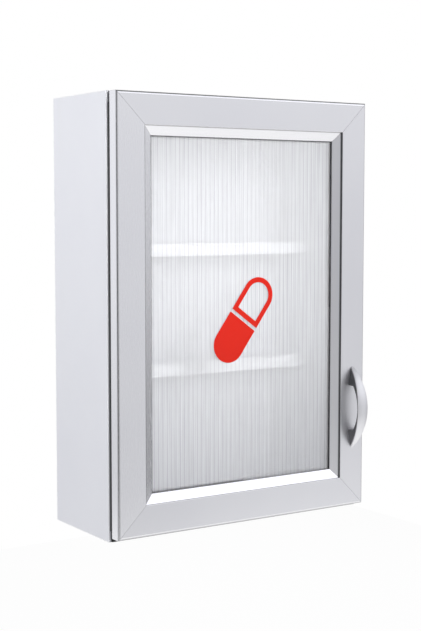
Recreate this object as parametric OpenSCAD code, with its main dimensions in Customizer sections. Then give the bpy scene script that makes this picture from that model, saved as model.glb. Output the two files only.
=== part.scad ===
// Wall cabinet for medicines: a board carcass with two shelves, and one hinged door of
// four mitred metal rails around a ribbed twin-wall sheet, with a cam lock in the side.
// Millimetres. +X is to the right, -Y is to the front and +Z is up.
// The origin is the centre of the four wall screw holes, on the wall plane.

/* [Carcass] */
// Width over the side boards
cabinet_w = 350; // [300:1:450]
// Height of the side boards
cabinet_h = 500; // [460:1:700]
// Depth from the wall to the front edges of the boards
cabinet_d = 128; // [112:1:220]
// Thickness of the side, top and bottom boards
board_t = 16; // [15:0.5:19]
// Rounding of the outer front corners of the side boards
board_round = 1.5; // [0.5:0.1:3]
// Thickness of the plastic edge bands
band_t = 2; // [1:0.1:3]
// Thickness of the back board
back_t = 6; // [4:0.5:8]
// How far the back board laps over each board in its rebate
rebate_w = 8; // [6:0.5:9]

/* [Wall fixing] */
// Diameter of the four wall screw holes
wall_hole_d = 5.5; // [4:0.1:8]
// Distance between the wall screw holes across the cabinet
wall_hole_span_x = 250; // [150:1:270]
// Distance between the wall screw holes up the cabinet
wall_hole_span_z = 400; // [200:1:420]

/* [Shelves] */
// Thickness of a shelf
shelf_t = 15; // [12:0.5:19]
// Depth of a shelf, from the back board forwards
shelf_d = 54; // [40:1:80]
// Height of the lower shelf's top above the underside of the cabinet
lower_shelf_top = 186; // [120:1:220]
// Height of the upper shelf's top above the underside of the cabinet
upper_shelf_top = 330; // [290:1:400]
// Gap between a shelf and each side board
shelf_gap = 0.8; // [0.3:0.1:2]
// Diameter of a shelf pin
shelf_pin_d = 5; // [4:0.5:6]
// Length of a shelf pin inside the side board
shelf_pin_in = 9; // [6:0.5:11]
// Length of a shelf pin under the shelf
shelf_pin_out = 8; // [6:0.5:12]
// Distance of a shelf pin from the front or back edge of the shelf
shelf_pin_inset = 12; // [8:0.5:16]

/* [Board joints] */
// Diameter of a wooden dowel
dowel_d = 8; // [6:0.5:10]
// Length of a wooden dowel
dowel_l = 28; // [20:1:32]
// Length of a dowel inside the side board
dowel_in = 10; // [8:0.5:12]
// Distance of a dowel from the front edge, and from the back board
dowel_inset = 15; // [10:0.5:18]
// Diameter of the threaded end of a connector bolt
bolt_thread_d = 5; // [4:0.5:6]
// Length of a connector bolt inside the side board
bolt_in = 11; // [8:0.5:12]
// Diameter of the smooth part of a connector bolt
bolt_shank_d = 6; // [5:0.5:7]
// Diameter of a connector bolt's neck, inside the eccentric connector
bolt_neck_d = 3; // [2.5:0.5:4]
// Length of a connector bolt's head
bolt_head_l = 3; // [2:0.5:4]
// Gap around a connector bolt in the slot of the eccentric connector
bolt_slot_gap = 0.5; // [0.3:0.1:1]
// Distance of a connector bolt from the front edge, and from the back board
bolt_inset = 38; // [32:0.5:42]
// Diameter of an eccentric connector
eccentric_d = 15; // [12:0.5:16]
// Height of an eccentric connector
eccentric_h = 12; // [11:0.5:13]
// Distance of an eccentric connector from the end of its board
eccentric_back = 24; // [20:0.5:34]
// Length of the cross slot for the screwdriver
cross_l = 7.5; // [5:0.5:9]
// Width and depth of the cross slot
cross_w = 2; // [1:0.1:3]

/* [Back screws] */
// Diameter of a back board screw
back_screw_d = 3; // [2.5:0.1:3.5]
// Length of a back board screw
back_screw_l = 16; // [12:1:20]
// Head diameter of a back board screw
back_screw_head_d = 6; // [5:0.1:7]
// Distance between neighbouring screws up each side
back_screw_pitch_z = 180; // [120:1:200]
// Distance between the two screws along the top, and along the bottom
back_screw_span_x = 160; // [100:1:200]

/* [Door] */
// Thickness of the door
door_t = 16; // [15:0.5:20]
// How far the door stops short of each side of the cabinet
side_reveal = 1; // [0.5:0.1:2]
// How far the door stops short of the top of the cabinet
top_reveal = 0.8; // [0.5:0.1:4]
// How far the door stops short of the bottom of the cabinet
bottom_reveal = 5.2; // [1:0.1:6]

/* [Door rails] */
// Width of the flat face of a rail
face_w = 36; // [32:0.5:46]
// Depth of the step at the inner edge of the flat face
step_d = 1.8; // [1:0.1:2.5]
// Width of the bevel that leads down to the sheet
bevel_w = 11; // [8:0.5:16]
// Depth of the bevel
bevel_d = 5; // [3:0.1:6]
// Height of the straight nose behind the bevel
nose_t = 2.4; // [1.5:0.1:2.6]
// Wall thickness of a rail
rail_wall = 1.4; // [1:0.1:1.6]
// Outer rounding at the front of a rail
front_round = 3; // [2:0.1:4]
// Outer rounding at the back of a rail
back_round = 2; // [1.5:0.1:3]
// Rounding of the inner edge of the flat face, and of the tip of the nose
inner_round = 0.8; // [0.3:0.1:0.9]
// Depth of the groove that holds the sheet, from the tip of the nose
groove_depth = 9; // [7:0.5:10]
// Width of the lip behind the sheet
back_lip_w = 7; // [5:0.5:8]
// Length of a corner block's legs, from the door's outer corner
cleat_leg = 58; // [50:1:64]

/* [Ribbed sheet] */
// Thickness of the sheet
sheet_t = 4; // [3.5:0.1:4.2]
// Distance between ribs
rib_pitch = 5.8; // [4:0.1:11]
// Thickness of each skin of the sheet
skin_t = 0.5; // [0.3:0.05:0.8]
// Thickness of a rib
rib_t = 0.4; // [0.3:0.05:0.8]
// Thickness of the gasket in front of the sheet
gasket_front = 0.8; // [0.5:0.1:1]
// Thickness of the gasket at the edge of the sheet
gasket_edge = 1; // [0.5:0.1:2]
// How far the gasket stays behind the tip of the nose
gasket_set_back = 1.5; // [0.5:0.1:3]

/* [Panel mark] */
// Length of the capsule sign on the sheet
mark_l = 112; // [80:1:130]
// Width of the capsule sign
mark_w = 42; // [30:1:60]
// Tilt of the capsule sign from upright
mark_tilt = 36; // [0:1:60]
// Width of the line around its open half
mark_line = 6; // [4:0.5:10]
// Gap between its two halves
mark_split = 4; // [2:0.5:8]
// Thickness of the vinyl film
mark_film = 0.3; // [0.2:0.05:0.5]
// Height of the sign's centre above the bottom edge of the door
mark_z = 237; // [200:1:300]

/* [Pull handle] */
// Length from tip to tip
handle_l = 101; // [92:1:130]
// Width at the middle
handle_w = 15; // [12:0.5:22]
// Width at each tip
handle_tip_w = 3; // [2:0.5:5]
// Reach from the door's face to the front of the grip
handle_reach = 22.4; // [18:0.1:32]
// Radius of the grip's crown, across its width
handle_crown_r = 24; // [16:1:60]
// Thickness of the grip at the middle
grip_t = 2.8; // [2:0.1:5]
// Distance between the feet
foot_gap = 55; // [48:1:56]
// Height of a foot's inner wall
foot_wall_h = 9; // [6:0.5:12]
// Height of the handle's centre above the bottom edge of the door
handle_z = 122.5; // [120:0.5:250]
// Distance between the handle screws
handle_screw_span = 64; // [62:1:68]
// Diameter of a handle screw
handle_screw_d = 4; // [3:0.5:4]
// Length of a handle screw's thread inside a foot
handle_screw_in = 7; // [5:0.5:8]
// Head diameter of a handle screw
handle_screw_head_d = 8; // [6:0.5:9]
// Head height of a handle screw
handle_screw_head_h = 2.4; // [1.5:0.1:2.8]

/* [Hinge] */
// Diameter of the hinge knuckles
knuckle_d = 3.4; // [3:0.1:4]
// Diameter of the hinge pin
hinge_pin_d = 1.8; // [1.5:0.1:2]
// Thickness of a hinge leaf
leaf_t = 0.75; // [0.6:0.05:0.8]
// Width of a hinge leaf, from the pin's axis
leaf_w = 13; // [11:0.5:14]
// Gap between each end of the hinge and the seals
hinge_end_gap = 0.5; // [0.3:0.1:3]
// Number of knuckles
knuckle_count = 20; // [8:2:24]
// Gap between neighbouring knuckles
knuckle_gap = 0.4; // [0.3:0.1:1]
// Gap between a knuckle and the carcass, and between a knuckle and the door's back plane
knuckle_relief = 0.3; // [0.3:0.05:0.6]
// Distance of the pin's axis from the hinge side of the door
hinge_axis_in = 1.2; // [1:0.1:2]
// Number of screws in each leaf
hinge_screw_count = 5; // [3:1:6]
// Distance of the end screws of a leaf from the ends of the hinge
hinge_screw_inset = 66; // [64:1:90]
// Diameter of a hinge screw
hinge_screw_d = 2.6; // [2:0.1:3]
// Head diameter of a hinge screw
hinge_screw_head_d = 4.6; // [4:0.1:5]
// Length of a screw in the carcass leaf
carcass_screw_l = 15; // [10:1:20]
// Length of a screw in the door leaf
door_screw_l = 6; // [4:0.5:8]
// Distance of the screws from the pin's axis
hinge_screw_x = 7.7; // [6.5:0.1:8]

/* [Seal] */
// Width of the sealing strip
seal_w = 12; // [8:0.5:13]
// Distance of the sealing strip from the outside of the carcass
seal_inset = 0.5; // [0.4:0.1:2]
// The same at the hinge side, where the door's back edge swings past the strips' ends
seal_hinge_inset = 3; // [2:0.1:6]
// Gap left between the strip and the closed door
seal_gap = 0.3; // [0.3:0.05:0.6]
// Wall of the hollow strip
seal_wall = 1; // [0.7:0.1:1.2]
// Rounding of the strip's crown
seal_round = 1.2; // [0.6:0.1:1.4]

/* [Lock] */
// Height of the lock above the underside of the cabinet
lock_z = 250; // [225:1:275]
// Distance of the lock's axis behind the front edge of the side board
lock_back = 20; // [18:0.5:28]
// Diameter of the lock's barrel
barrel_d = 18; // [17:0.5:19]
// Diameter of the lock's collar
collar_d = 22; // [20.5:0.5:26]
// Height of the collar on the outside of the cabinet
collar_h = 2.5; // [2:0.1:4]
// Length of the barrel that shows past the nut
barrel_end = 2; // [1:0.5:4]
// Diameter of the turning plug
plug_d = 14; // [12:0.1:14]
// Diameter of the plug's head
plug_head_d = 16; // [15:0.1:16]
// Height of the plug's head
plug_head_h = 1.8; // [1:0.1:2]
// Width of the square end of the plug
plug_square = 7; // [6:0.1:8]
// Radial gap around the plug
plug_play = 0.05; // [0.02:0.01:0.1]
// Gap between the barrel and the locking tongue
tongue_gap = 0.3; // [0.3:0.05:0.6]
// Width of the keyway
keyway_w = 2.2; // [1.5:0.1:3]
// Height of the keyway
keyway_h = 9; // [7:0.1:10]
// Depth of the keyway
keyway_depth = 17; // [10:1:19]
// Width of the nut across its flats
nut_af = 22; // [20.5:0.5:24]
// Thickness of the nut
nut_t = 3.5; // [2:0.5:5]
// Thickness of the locking tongue
tongue_t = 2.5; // [2:0.1:3]
// Width of the locking tongue
tongue_w = 8; // [6:0.5:9]
// Reach of the locking tongue from the lock's axis
tongue_reach = 20; // [18.5:0.5:21]
// Thread diameter of the tongue's screw
tongue_screw_d = 4; // [3:0.5:5]
// Length of the tongue's screw
tongue_screw_l = 8; // [6:1:10]
// Head diameter of the tongue's screw
tongue_screw_head_d = 10; // [9:0.5:12]
// Head height of the tongue's screw
tongue_screw_head_h = 3; // [2:0.5:4]

/* [Lock keeper] */
// Width of the keeper
keeper_w = 9; // [7:0.5:10]
// Thickness of the keeper's steel strip
keeper_t = 1.6; // [1.2:0.1:2]
// Gap around the locking tongue in the keeper
keeper_gap = 0.6; // [0.4:0.1:1]
// Height of the keeper's foot on the back of the door
keeper_foot = 26; // [22:1:34]
// Diameter of a keeper screw
keeper_screw_d = 3; // [2.5:0.1:3.5]
// Distance between the keeper screws
keeper_screw_span = 12; // [10:0.5:14]
// Length of a keeper screw
keeper_screw_l = 7; // [5:0.5:8]
// Head diameter of a keeper screw
keeper_screw_head_d = 5.6; // [5:0.1:6]
// Head height of a keeper screw
keeper_screw_head_h = 1.8; // [1:0.1:2]

/* [Magnetic catch] */
// Height of the catch above the underside of the cabinet
catch_z = 400; // [365:1:410]
// Width of the catch, out from the side board
catch_w = 12; // [10:0.5:16]
// Depth of the catch behind the front edge of the side board
catch_d = 20; // [16:0.5:26]
// Height of the catch's box
catch_h = 27; // [24:0.5:34]
// Height of its base plate
catch_base_h = 46; // [44:0.5:56]
// Thickness of its base plate
catch_base_t = 3; // [2:0.1:4]
// Thickness of a steel pole plate
pole_t = 1.6; // [1:0.1:2]
// Gap between the poles and the closed striking plate
catch_gap = 0.3; // [0.3:0.05:0.6]
// Thickness of the striking plate on the door
strike_t = 1.2; // [1:0.1:1.5]
// Height of the striking plate
strike_h = 38; // [34:0.5:44]
// Length of the striking plate's screw
strike_screw_l = 6; // [4:0.5:8]
// Diameter of a catch screw
catch_screw_d = 3; // [2.5:0.1:3.5]
// Length of a catch screw
catch_screw_l = 13; // [10:0.5:14]
// Head diameter of a catch screw
catch_screw_head_d = 5.6; // [5:0.1:6]
// Head height of a catch screw
catch_screw_head_h = 1.8; // [1:0.1:2]

/* [Hidden] */
$fn = 64;

// Overlap of a cut past the face that it opens
over = 1;
// Radial clearance of a screw, pin or dowel in its hole
fit_play = 0.05;
// Square root of three, for the corners of a hexagon
root3 = sqrt(3);

// Carcass planes
left_x = -cabinet_w / 2;
right_x = cabinet_w / 2;
base_z = -cabinet_h / 2;
top_z = cabinet_h / 2;
front_y = -cabinet_d;
inner_left_x = left_x + board_t;
inner_right_x = right_x - board_t;
floor_z = base_z + board_t;
ceiling_z = top_z - board_t;
inner_back_y = -back_t;
core_front_y = front_y + band_t;
inner_w = inner_right_x - inner_left_x;
band_round = min(board_round, band_t);

// Door planes
door_gap = knuckle_d + 2 * knuckle_relief;
door_back_y = front_y - door_gap;
door_front_y = door_back_y - door_t;
door_left_x = left_x + side_reveal;
door_right_x = right_x - side_reveal;
door_base_z = base_z + bottom_reveal;
door_top_z = top_z - top_reveal;
door_w = door_right_x - door_left_x;
door_h = door_top_z - door_base_z;
door_mid_z = (door_base_z + door_top_z) / 2;
door_mid_x = (door_left_x + door_right_x) / 2;

// Rail section, measured in from the outer edge (u) and back from the face (v)
rail_w = face_w + bevel_w;
bevel_end_v = step_d + bevel_d;
nose_back_v = bevel_end_v + nose_t;
groove_u = rail_w - groove_depth;
back_lip_v = door_t - rail_wall;
chamber_u = groove_u - rail_wall;
bevel_slope = bevel_d / bevel_w;
bevel_stretch = sqrt(1 + bevel_slope * bevel_slope);
bevel_run = rail_wall * bevel_stretch;

// Centre of the nose's rounding, and where that rounding meets the bevel
nose_u = rail_w - inner_round;
nose_v = step_d + bevel_slope * (nose_u - face_w) + inner_round * bevel_stretch;
nose_meet_u = nose_u + inner_round * bevel_slope / bevel_stretch;
nose_meet_v = nose_v - inner_round / bevel_stretch;

// Ribbed sheet and its place in the door
sheet_inset = groove_u + gasket_edge;
sheet_w = door_w - 2 * sheet_inset;
sheet_h = door_h - 2 * sheet_inset;
sheet_front_y = door_front_y + nose_back_v + gasket_front;
cell_w = rib_pitch - rib_t;
cell_count = floor((sheet_w - rib_t) / rib_pitch);
first_cell_x = -cell_count * rib_pitch / 2 + rib_t / 2;

// Hinge axis
hinge_x = door_left_x + hinge_axis_in;
hinge_y = front_y - door_gap / 2;
hinge_l = cabinet_h - 2 * (seal_inset + seal_w + hinge_end_gap);
hinge_base_z = -hinge_l / 2;
hinge_screw_pitch = (hinge_l - 2 * hinge_screw_inset) / (hinge_screw_count - 1);
knuckle_pitch = hinge_l / knuckle_count;
leaf_face = door_gap / 2 - leaf_t;
hinge_bore_d = hinge_pin_d + 2 * fit_play;

// Seal
seal_h = door_gap - seal_gap;
seal_l = cabinet_w - seal_hinge_inset - seal_inset;

// Shelves
shelf_w = inner_w - 2 * shelf_gap;
shelf_front_y = inner_back_y - shelf_d;

// Joints between the boards
joint_z = base_z + board_t / 2;
dowel_ys = [front_y + dowel_inset, inner_back_y - dowel_inset];
bolt_ys = [front_y + bolt_inset, inner_back_y - bolt_inset];
bolt_slot_d = bolt_shank_d + 2 * bolt_slot_gap;

// Lock
lock_y = front_y + lock_back;
lock_axis_z = base_z + lock_z;
nut_x = inner_right_x - nut_t;
barrel_end_x = nut_x - barrel_end;
collar_x = right_x + collar_h;
tongue_x = barrel_end_x - tongue_gap - tongue_t;
nut_corner_r = nut_af / root3;

// Keeper: a foot on the door, an arm over the tongue, and a lip behind it
keeper_x = tongue_x + tongue_t / 2 - keeper_w / 2;
tongue_corner_r = sqrt(tongue_reach * tongue_reach + tongue_w * tongue_w / 4);
keeper_arm_z = lock_axis_z + tongue_corner_r + keeper_gap;
keeper_lip_z = lock_axis_z + nut_corner_r + keeper_gap;
keeper_lip_y = lock_y + tongue_w / 2 + keeper_gap;
keeper_foot_top_z = keeper_arm_z + keeper_foot;
keeper_screw_z = keeper_arm_z + keeper_t + (keeper_foot - keeper_t) / 2;

// Magnetic catch
catch_mid_z = base_z + catch_z;
pole_front_y = door_back_y + strike_t + catch_gap;
catch_screw_span = (catch_h + catch_base_h) / 2;
strike_x = inner_right_x - catch_w / 2;

// Handle
handle_x = door_right_x - face_w / 2;
handle_mid_z = door_base_z + handle_z;
handle_out_r = (handle_l * handle_l / 4 + handle_reach * handle_reach) / (2 * handle_reach);
grip_in = handle_reach - grip_t;
grip_rise = grip_in - foot_wall_h;
grip_in_r = (foot_gap * foot_gap / 4 + grip_rise * grip_rise) / (2 * grip_rise);
leaf_rise = (handle_w - handle_tip_w) / 2;
leaf_r = (handle_l * handle_l / 4 + leaf_rise * leaf_rise) / (2 * leaf_rise);

// Colours
board_colour = [0.86, 0.87, 0.89];
shelf_colour = [0.94, 0.94, 0.95];
rail_colour = [0.80, 0.80, 0.82];
black_colour = [0.13, 0.13, 0.14];
steel_colour = [0.70, 0.71, 0.73];

// ---- Ways to turn a piece that is drawn along +Z ----

module to_front() {
    rotate([90, 0, 0]) children();
}

module to_back() {
    rotate([-90, 0, 0]) children();
}

module to_right() {
    rotate([0, 90, 0]) children();
}

module to_left() {
    rotate([0, -90, 0]) children();
}

// ---- Screws: the head's upper face is at z = 0 or above, and the tip points down ----

module flat_head_screw(d, l, head_d) {
    head_h = (head_d - d) / 2;
    translate([0, 0, -l]) cylinder(d = d, h = l);
    translate([0, 0, -head_h]) cylinder(d1 = d, d2 = head_d, h = head_h);
}

module pan_head_screw(d, l, head_d, head_h) {
    translate([0, 0, -l]) cylinder(d = d, h = l);
    cylinder(d = head_d, h = head_h);
}

module flat_head_hole(d, l, head_d) {
    flat_head_screw(d + 2 * fit_play, l + fit_play, head_d + 2 * fit_play);
}

// ---- Places that repeat ----

// The four corners of the carcass: x runs from the side board inwards, and z towards the
// inside of the cabinet, from the middle plane of the top or bottom board
module at_board_corners() {
    for (flip_x = [0, 1])
        for (flip_z = [0, 1])
            mirror([flip_x, 0, 0])
                mirror([0, 0, flip_z])
                    translate([inner_left_x, 0, joint_z]) children();
}

module at_shelf_pins() {
    for (flip_x = [0, 1])
        for (shelf_top = [lower_shelf_top, upper_shelf_top])
            for (y = [inner_back_y - shelf_pin_inset,
                      shelf_front_y + shelf_pin_inset])
                mirror([flip_x, 0, 0])
                    translate([inner_left_x, y,
                               base_z + shelf_top - shelf_t - shelf_pin_d / 2])
                        children();
}

module at_back_screws() {
    lap_x = inner_right_x + rebate_w / 2;
    lap_z = ceiling_z + rebate_w / 2;
    for (side = [-1, 1]) {
        for (step = [-1, 0, 1])
            translate([side * lap_x, 0, step * back_screw_pitch_z]) to_back() children();
        for (step = [-1, 1])
            translate([step * back_screw_span_x / 2, 0, side * lap_z]) to_back() children();
    }
}

module at_hinge_screws() {
    for (i = [0 : hinge_screw_count - 1])
        translate([hinge_screw_x, leaf_face,
                   hinge_screw_inset + i * hinge_screw_pitch])
            to_front() children();
}

module at_handle_screws() {
    for (side = [-1, 1])
        translate([handle_x, 0, handle_mid_z + side * handle_screw_span / 2]) children();
}

module at_keeper_screws() {
    for (side = [-1, 1])
        translate([keeper_x + keeper_w / 2, door_back_y + keeper_t,
                   keeper_screw_z + side * keeper_screw_span / 2])
            to_back() children();
}

module at_catch_screws() {
    for (side = [-1, 1])
        translate([inner_right_x - catch_base_t, front_y + catch_d / 2,
                   catch_mid_z + side * catch_screw_span / 2])
            to_left() children();
}

module at_strike_screw() {
    translate([strike_x, door_back_y + strike_t, catch_mid_z]) to_back() children();
}

// ---- Carcass ----

// Plan of the left side board, behind its edge band
module side_board_plan() {
    difference() {
        translate([left_x, core_front_y]) square([board_t, cabinet_d - band_t]);
        translate([inner_left_x - rebate_w, inner_back_y])
            square([rebate_w + over, back_t + over]);
    }
}

// Plan of the band on its front edge, with the outer corner rounded
module side_band_plan() {
    translate([left_x, front_y])
        difference() {
            square([board_t, band_t]);
            difference() {
                translate([-over, -over]) square([band_round + over, band_round + over]);
                translate([band_round, band_round]) circle(r = band_round);
            }
        }
}

module board_joint_holes() {
    at_board_corners() {
        for (y = dowel_ys)
            translate([-dowel_in - fit_play, y, 0])
                to_right() cylinder(d = dowel_d + 2 * fit_play, h = dowel_l + 2 * fit_play);
        for (y = bolt_ys) {
            translate([-bolt_in - fit_play, y, 0])
                to_right() cylinder(d = bolt_thread_d + 2 * fit_play,
                                    h = bolt_in + over);
            translate([0, y, 0])
                to_right() cylinder(d = bolt_shank_d + 2 * fit_play,
                                    h = eccentric_back);
            translate([eccentric_back, y, board_t / 2 - eccentric_h])
                cylinder(d = eccentric_d + 2 * fit_play, h = eccentric_h + over);
        }
    }
}

module side_board_blank() {
    translate([0, 0, base_z + band_t])
        linear_extrude(cabinet_h - 2 * band_t) side_board_plan();
}

module carcass_hinge_holes() {
    translate([hinge_x, hinge_y, hinge_base_z])
        at_hinge_screws() flat_head_hole(hinge_screw_d, carcass_screw_l, hinge_screw_head_d);
}

module shared_board_holes() {
    board_joint_holes();
    at_shelf_pins()
        translate([-shelf_pin_in - fit_play, 0, 0])
            to_right() cylinder(d = shelf_pin_d + 2 * fit_play,
                                h = shelf_pin_in + shelf_pin_out);
    at_back_screws() flat_head_hole(back_screw_d, back_screw_l, back_screw_head_d);
}

module left_side_board() {
    color(board_colour)
        difference() {
            side_board_blank();
            shared_board_holes();
            carcass_hinge_holes();
        }
}

module right_side_board() {
    color(board_colour)
        difference() {
            mirror([1, 0, 0]) side_board_blank();
            shared_board_holes();
            translate([inner_right_x - over, lock_y, lock_axis_z])
                to_right() cylinder(d = barrel_d + 2 * fit_play, h = board_t + 2 * over);
            at_catch_screws()
                translate([0, 0, -catch_screw_l - fit_play])
                    cylinder(d = catch_screw_d + 2 * fit_play, h = catch_screw_l);
        }
}

// Bottom board; the top board is its mirror image
module end_board_blank() {
    difference() {
        translate([inner_left_x, core_front_y, base_z])
            cube([inner_w, cabinet_d - band_t, board_t]);
        translate([inner_left_x - over, inner_back_y, floor_z - rebate_w])
            cube([inner_w + 2 * over, back_t + over, rebate_w + over]);
    }
}

module top_board() {
    color(board_colour)
        difference() {
            mirror([0, 0, 1]) end_board_blank();
            shared_board_holes();
        }
}

module bottom_board() {
    color(board_colour)
        difference() {
            end_board_blank();
            shared_board_holes();
        }
}

module back_board() {
    back_w = inner_w + 2 * rebate_w;
    back_h = ceiling_z - floor_z + 2 * rebate_w;
    color(shelf_colour)
        difference() {
            translate([-back_w / 2, inner_back_y, -back_h / 2]) cube([back_w, back_t, back_h]);
            for (side_x = [-1, 1])
                for (side_z = [-1, 1])
                    translate([side_x * wall_hole_span_x / 2, over,
                               side_z * wall_hole_span_z / 2])
                        to_front() cylinder(d = wall_hole_d, h = back_t + 2 * over);
            at_back_screws() flat_head_hole(back_screw_d, back_screw_l, back_screw_head_d);
        }
}

// Bands on the front edges of the side boards
module side_edge_bands() {
    color(board_colour)
        difference() {
            for (flip_x = [0, 1])
                mirror([flip_x, 0, 0])
                    translate([0, 0, base_z]) linear_extrude(cabinet_h) side_band_plan();
            carcass_hinge_holes();
        }
}

// Bands on the upper and lower ends of the side boards
module end_edge_bands() {
    color(board_colour)
        for (flip_x = [0, 1])
            for (z = [base_z, top_z - band_t])
                mirror([flip_x, 0, 0])
                    translate([0, 0, z]) linear_extrude(band_t) side_board_plan();
}

// Bands on the front edges of the top board, the bottom board and the shelves
module cross_edge_bands() {
    color(board_colour) {
        for (z = [base_z, ceiling_z])
            translate([inner_left_x, front_y, z]) cube([inner_w, band_t, board_t]);
        for (shelf_top = [lower_shelf_top, upper_shelf_top])
            translate([-shelf_w / 2, shelf_front_y, base_z + shelf_top - shelf_t])
                cube([shelf_w, band_t, shelf_t]);
    }
}

module shelf(top) {
    color(shelf_colour)
        translate([-shelf_w / 2, shelf_front_y + band_t, base_z + top - shelf_t])
            cube([shelf_w, shelf_d - band_t, shelf_t]);
}

module lower_shelf() {
    shelf(lower_shelf_top);
}

module upper_shelf() {
    shelf(upper_shelf_top);
}

module shelf_pins() {
    color(steel_colour)
        at_shelf_pins()
            translate([-shelf_pin_in, 0, 0])
                to_right() cylinder(d = shelf_pin_d, h = shelf_pin_in + shelf_pin_out);
}

module dowels() {
    color("burlywood")
        at_board_corners()
            for (y = dowel_ys)
                translate([-dowel_in, y, 0])
                    to_right() cylinder(d = dowel_d, h = dowel_l);
}

// A bolt with its neck inside the eccentric connector
module connector_bolts() {
    color(steel_colour)
        at_board_corners()
            for (y = bolt_ys) {
                translate([-bolt_in, y, 0])
                    to_right() cylinder(d = bolt_thread_d, h = bolt_in + over);
                translate([0, y, 0])
                    to_right() cylinder(d = bolt_shank_d, h = eccentric_back - bolt_head_l);
                translate([0, y, 0])
                    to_right() cylinder(d = bolt_neck_d, h = eccentric_back);
                translate([eccentric_back - over, y, 0])
                    to_right() cylinder(d = bolt_shank_d, h = bolt_head_l);
            }
}

module eccentrics() {
    color(steel_colour)
        at_board_corners()
            for (y = bolt_ys)
                translate([eccentric_back, y, board_t / 2 - eccentric_h])
                    difference() {
                        cylinder(d = eccentric_d, h = eccentric_h);
                        translate([-eccentric_d, 0, eccentric_h - board_t / 2])
                            to_right() cylinder(d = bolt_slot_d,
                                                h = eccentric_d + bolt_head_l);
                        for (turn = [0, 90])
                            rotate([0, 0, turn])
                                translate([-cross_l / 2, -cross_w / 2,
                                           eccentric_h - cross_w])
                                    cube([cross_l, cross_w, cross_w + over]);
                    }
}

module back_screws() {
    color(steel_colour)
        at_back_screws() flat_head_screw(back_screw_d, back_screw_l, back_screw_head_d);
}

// ---- Seal on the front edges of the carcass ----

module seal_profile() {
    difference() {
        union() {
            translate([0, seal_round - seal_h]) square([seal_w, seal_h - seal_round]);
            translate([seal_round, -seal_h]) square([seal_w - 2 * seal_round, seal_h]);
            for (x = [seal_round, seal_w - seal_round])
                translate([x, seal_round - seal_h]) circle(r = seal_round);
        }
        translate([seal_wall, seal_wall - seal_h])
            square([seal_w - 2 * seal_wall, seal_h - 2 * seal_wall]);
    }
}

module cross_seal(upper_z) {
    color(black_colour)
        translate([left_x + seal_hinge_inset, front_y, upper_z])
            rotate([0, 90, 0]) linear_extrude(seal_l) seal_profile();
}

module top_seal() {
    cross_seal(top_z - seal_inset);
}

module bottom_seal() {
    cross_seal(base_z + seal_inset + seal_w);
}

module lock_side_seal() {
    lower_z = base_z + seal_inset + seal_w;
    color(black_colour)
        translate([right_x - seal_inset - seal_w, front_y, lower_z])
            linear_extrude(-2 * lower_z) seal_profile();
}

// ---- Hinge: pin along +Z through the origin, carcass leaf on the +Y side ----

module knuckle_slot(i, end_gap) {
    translate([0, 0, i * knuckle_pitch + end_gap])
        linear_extrude(knuckle_pitch - 2 * end_gap) children();
}

// first is 0 or 1, the number of the leaf's lowest knuckle
module hinge_leaf(first) {
    difference() {
        union() {
            translate([0, leaf_face, 0]) cube([leaf_w, leaf_t, hinge_l]);
            for (i = [first : 2 : knuckle_count - 1])
                knuckle_slot(i, knuckle_gap / 2) circle(d = knuckle_d);
        }
        for (i = [1 - first : 2 : knuckle_count - 1])
            knuckle_slot(i, -knuckle_gap / 2)
                translate([-knuckle_d, -knuckle_d])
                    square([3 * knuckle_d / 2 + knuckle_relief, 2 * knuckle_d]);
        translate([0, 0, -over]) cylinder(d = hinge_bore_d, h = hinge_l + 2 * over);
    }
}

module hinge_carcass_leaf() {
    color(black_colour)
        translate([hinge_x, hinge_y, hinge_base_z])
            difference() {
                hinge_leaf(0);
                at_hinge_screws()
                    flat_head_hole(hinge_screw_d, carcass_screw_l, hinge_screw_head_d);
            }
}

module hinge_door_leaf() {
    color(black_colour)
        translate([hinge_x, hinge_y, hinge_base_z])
            mirror([0, 1, 0])
                difference() {
                    hinge_leaf(1);
                    at_hinge_screws()
                        flat_head_hole(hinge_screw_d, door_screw_l, hinge_screw_head_d);
                }
}

module hinge_pin() {
    color(steel_colour)
        translate([hinge_x, hinge_y, hinge_base_z]) cylinder(d = hinge_pin_d, h = hinge_l);
}

module hinge_carcass_screws() {
    color(black_colour)
        translate([hinge_x, hinge_y, hinge_base_z])
            at_hinge_screws() flat_head_screw(hinge_screw_d, carcass_screw_l, hinge_screw_head_d);
}

module hinge_door_screws() {
    color(black_colour)
        translate([hinge_x, hinge_y, hinge_base_z])
            mirror([0, 1, 0])
                at_hinge_screws() flat_head_screw(hinge_screw_d, door_screw_l, hinge_screw_head_d);
}

// ---- Magnetic catch ----

module catch_housing() {
    color("white")
        difference() {
            union() {
                translate([inner_right_x - catch_w, front_y, catch_mid_z - catch_h / 2])
                    cube([catch_w, catch_d, catch_h]);
                translate([inner_right_x - catch_base_t, front_y,
                           catch_mid_z - catch_base_h / 2])
                    cube([catch_base_t, catch_d, catch_base_h]);
            }
            catch_core(fit_play);
            at_catch_screws()
                translate([0, 0, -catch_screw_l])
                    cylinder(d = catch_screw_d + 2 * fit_play, h = catch_screw_l + over);
        }
}

// Magnet between two steel pole plates that stand out of the housing
module catch_core(play) {
    core_h = catch_h - 2 * pole_t;
    core_w = catch_w - 2 * pole_t;
    core_d = catch_d / 2;
    pole_d = front_y + core_d - pole_front_y;
    translate([inner_right_x - catch_w / 2, pole_front_y, catch_mid_z]) {
        for (side = [-1, 1])
            translate([side * (core_w - pole_t) / 2 - pole_t / 2 - play, -play,
                       -core_h / 2 - play])
                cube([pole_t + 2 * play, pole_d + 2 * play, core_h + 2 * play]);
        translate([-core_w / 2 + pole_t - play, pole_t, -core_h / 2 - play])
            cube([core_w - 2 * pole_t + 2 * play, pole_d - pole_t + play,
                  core_h + 2 * play]);
    }
}

module catch_magnet() {
    color("dimgray") catch_core(0);
}

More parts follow.
